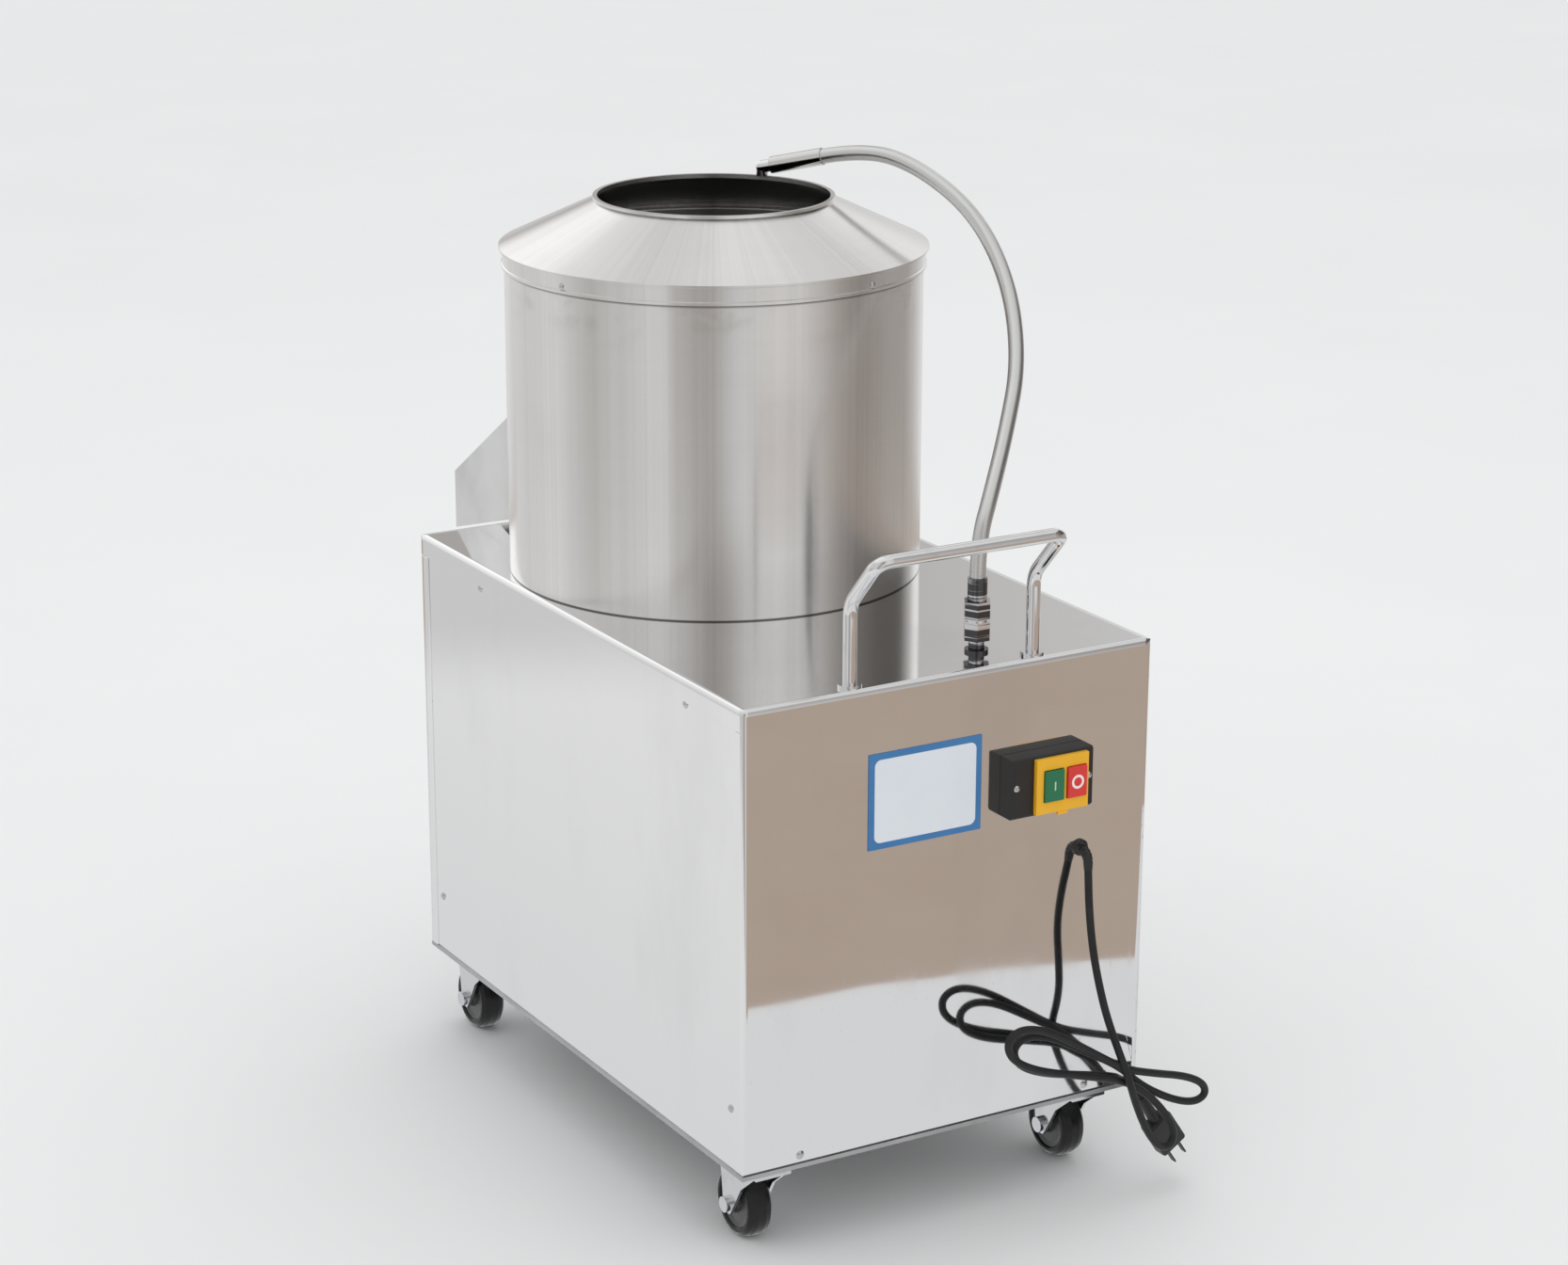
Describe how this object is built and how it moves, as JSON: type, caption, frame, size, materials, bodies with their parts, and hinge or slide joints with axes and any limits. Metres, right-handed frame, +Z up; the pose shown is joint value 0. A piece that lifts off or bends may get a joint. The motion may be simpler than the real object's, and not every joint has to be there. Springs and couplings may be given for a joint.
{
  "type": "electric potato peeler",
  "caption": "Floor-standing electric root-vegetable peeler: polished cabinet on castors, abrasive drum with open cone top, motor and belt drive, push buttons, water hose, chute and waste outlet",
  "frame": {"origin": "on the floor under the middle of the machine's bounding box, measured without the cord and hose", "axes": "+Z up; -Y toward the operator's side with the buttons and the push handle; +Y toward the discharge chute; +X toward the side with the switch box"},
  "size_m": [0.4543, 0.79, 0.892],
  "materials": {
    "polished_steel": "stainless sheet polished to a mirror",
    "satin_steel": "stainless sheet, satin",
    "chute_steel": "stainless sheet, dull",
    "frame_steel": "dark paint",
    "chrome_bright": "bright chrome",
    "machined_steel": "turned",
    "motor_paint": "semi-gloss paint",
    "cast_aluminium": "cast and blasted",
    "cast_iron": "turned and blacked",
    "belt_rubber": "fabric-backed rubber",
    "seal_rubber": "nitrile",
    "abrasive": "black grit in resin",
    "disc_metal": "cast disc under black grit",
    "black_plastic": "fine texture",
    "yellow_plastic": "smooth",
    "green_plastic": "smooth",
    "red_plastic": "smooth",
    "label_sheet": "printed white with a blue border",
    "cord_rubber": "smooth jacket",
    "hose_braid": "stainless wire braid",
    "fitting_metal": "nickel plate, darkened",
    "screw_steel": "zinc plate",
    "castor_zinc": "bright zinc",
    "castor_tyre": "black rubber",
    "castor_hub": "moulded"
  },
  "bodies": {
    "cabinet": {"welded_frame": "frame_steel", "top_plate": "polished_steel", "front_panel": "polished_steel", "back_panel": "polished_steel", "left_side_panel": "polished_steel", "right_side_panel": "polished_steel", "motor_plate": "frame_steel", "bearing_plate": "frame_steel", "motor_body": "motor_paint", "motor_end_bells": "cast_aluminium", "terminal_box": "motor_paint", "v_belt": "belt_rubber", "bearing_housing": "cast_aluminium", "spindle_bearings": "machined_steel", "lip_seal": "seal_rubber", "waste_pan": "satin_steel", "drum_shell": "satin_steel", "abrasive_lining": "abrasive", "cone_hood": "satin_steel", "discharge_chute": "chute_steel", "hinge_bracket": "chute_steel", "hinge_pin": "machined_steel", "push_handle": "chrome_bright", "switch_housing": "black_plastic", "switch_cover": "yellow_plastic", "start_spring": "screw_steel", "stop_spring": "screw_steel", "rating_plate": "label_sheet", "cable_gland": "black_plastic", "screws": "screw_steel", "water_fitting": "fitting_metal", "braided_hose": "hose_braid", "hose_ferrules": "fitting_metal", "spray_elbow": "chrome_bright", "power_cord": "cord_rubber", "cord_hank": "cord_rubber", "plug": "black_plastic", "castor_plates": "castor_zinc"},
    "drive_spindle": {"spindle": "machined_steel", "spindle_pulley": "cast_iron", "abrasive_disc": "disc_metal", "disc_cap": "satin_steel"},
    "motor_rotor": {"motor_shaft": "machined_steel", "motor_pulley": "cast_iron"},
    "start_button": {"start_button": "green_plastic"},
    "stop_button": {"stop_button": "red_plastic"},
    "door": {"chute_door": "satin_steel"},
    "latch": {"door_latch": "machined_steel"},
    "swivel_front_left": {"castor_fork_front_left": "castor_zinc"},
    "wheel_front_left": {"castor_tyre_front_left": "castor_tyre", "castor_hub_front_left": "castor_hub"},
    "swivel_front_right": {"castor_fork_front_right": "castor_zinc"},
    "wheel_front_right": {"castor_tyre_front_right": "castor_tyre", "castor_hub_front_right": "castor_hub"},
    "swivel_back_left": {"castor_fork_back_left": "castor_zinc"},
    "wheel_back_left": {"castor_tyre_back_left": "castor_tyre", "castor_hub_back_left": "castor_hub"},
    "swivel_back_right": {"castor_fork_back_right": "castor_zinc"},
    "wheel_back_right": {"castor_tyre_back_right": "castor_tyre", "castor_hub_back_right": "castor_hub"}
  },
  "joints": [
    {"name": "spindle_spin", "type": "hinge", "parent": "cabinet", "child": "drive_spindle", "pos_m": [-0.008, 0.053, 0.3], "axis": [0, 0, 1], "continuous": true},
    {"name": "motor_spin", "type": "hinge", "parent": "cabinet", "child": "motor_rotor", "pos_m": [-0.008, -0.2345, 0.3], "axis": [0, 0, 1], "continuous": true},
    {"name": "start_press", "type": "slide", "parent": "cabinet", "child": "start_button", "axis": [0, 1, 0], "range_m": [0, 0.003], "stiffness_N_per_m": 400, "springref_m": -0.0015, "deforming": ["start_spring"]},
    {"name": "stop_press", "type": "slide", "parent": "cabinet", "child": "stop_button", "axis": [0, 1, 0], "range_m": [0, 0.003], "stiffness_N_per_m": 400, "springref_m": -0.0015, "deforming": ["stop_spring"]},
    {"name": "door_hinge", "type": "hinge", "parent": "cabinet", "child": "door", "pos_m": [-0.008, 0.253, 0.655], "axis": [1, 0, 0], "range_deg": [0, 100]},
    {"name": "latch_turn", "type": "hinge", "parent": "door", "child": "latch", "pos_m": [0.052, 0.248, 0.6], "axis": [0, 1, 0], "range_deg": [-90, 0]},
    {"name": "swivel_front_left", "type": "hinge", "parent": "cabinet", "child": "swivel_front_left", "pos_m": [-0.165, -0.2985, 0.06], "axis": [0, 0, 1], "continuous": true},
    {"name": "roll_front_left", "type": "hinge", "parent": "swivel_front_left", "child": "wheel_front_left", "pos_m": [-0.165, -0.2785, 0.032], "axis": [1, 0, 0], "continuous": true},
    {"name": "swivel_front_right", "type": "hinge", "parent": "cabinet", "child": "swivel_front_right", "pos_m": [0.165, -0.2985, 0.06], "axis": [0, 0, 1], "continuous": true},
    {"name": "roll_front_right", "type": "hinge", "parent": "swivel_front_right", "child": "wheel_front_right", "pos_m": [0.165, -0.2785, 0.032], "axis": [1, 0, 0], "continuous": true},
    {"name": "swivel_back_left", "type": "hinge", "parent": "cabinet", "child": "swivel_back_left", "pos_m": [-0.165, 0.2325, 0.06], "axis": [0, 0, 1], "continuous": true},
    {"name": "roll_back_left", "type": "hinge", "parent": "swivel_back_left", "child": "wheel_back_left", "pos_m": [-0.165, 0.2525, 0.032], "axis": [1, 0, 0], "continuous": true},
    {"name": "swivel_back_right", "type": "hinge", "parent": "cabinet", "child": "swivel_back_right", "pos_m": [0.165, 0.2325, 0.06], "axis": [0, 0, 1], "continuous": true},
    {"name": "roll_back_right", "type": "hinge", "parent": "swivel_back_right", "child": "wheel_back_right", "pos_m": [0.165, 0.2525, 0.032], "axis": [1, 0, 0], "continuous": true}
  ],
  "couplings": [
    {"joint": "motor_spin", "follows": "spindle_spin", "ratio": 3}
  ]
}
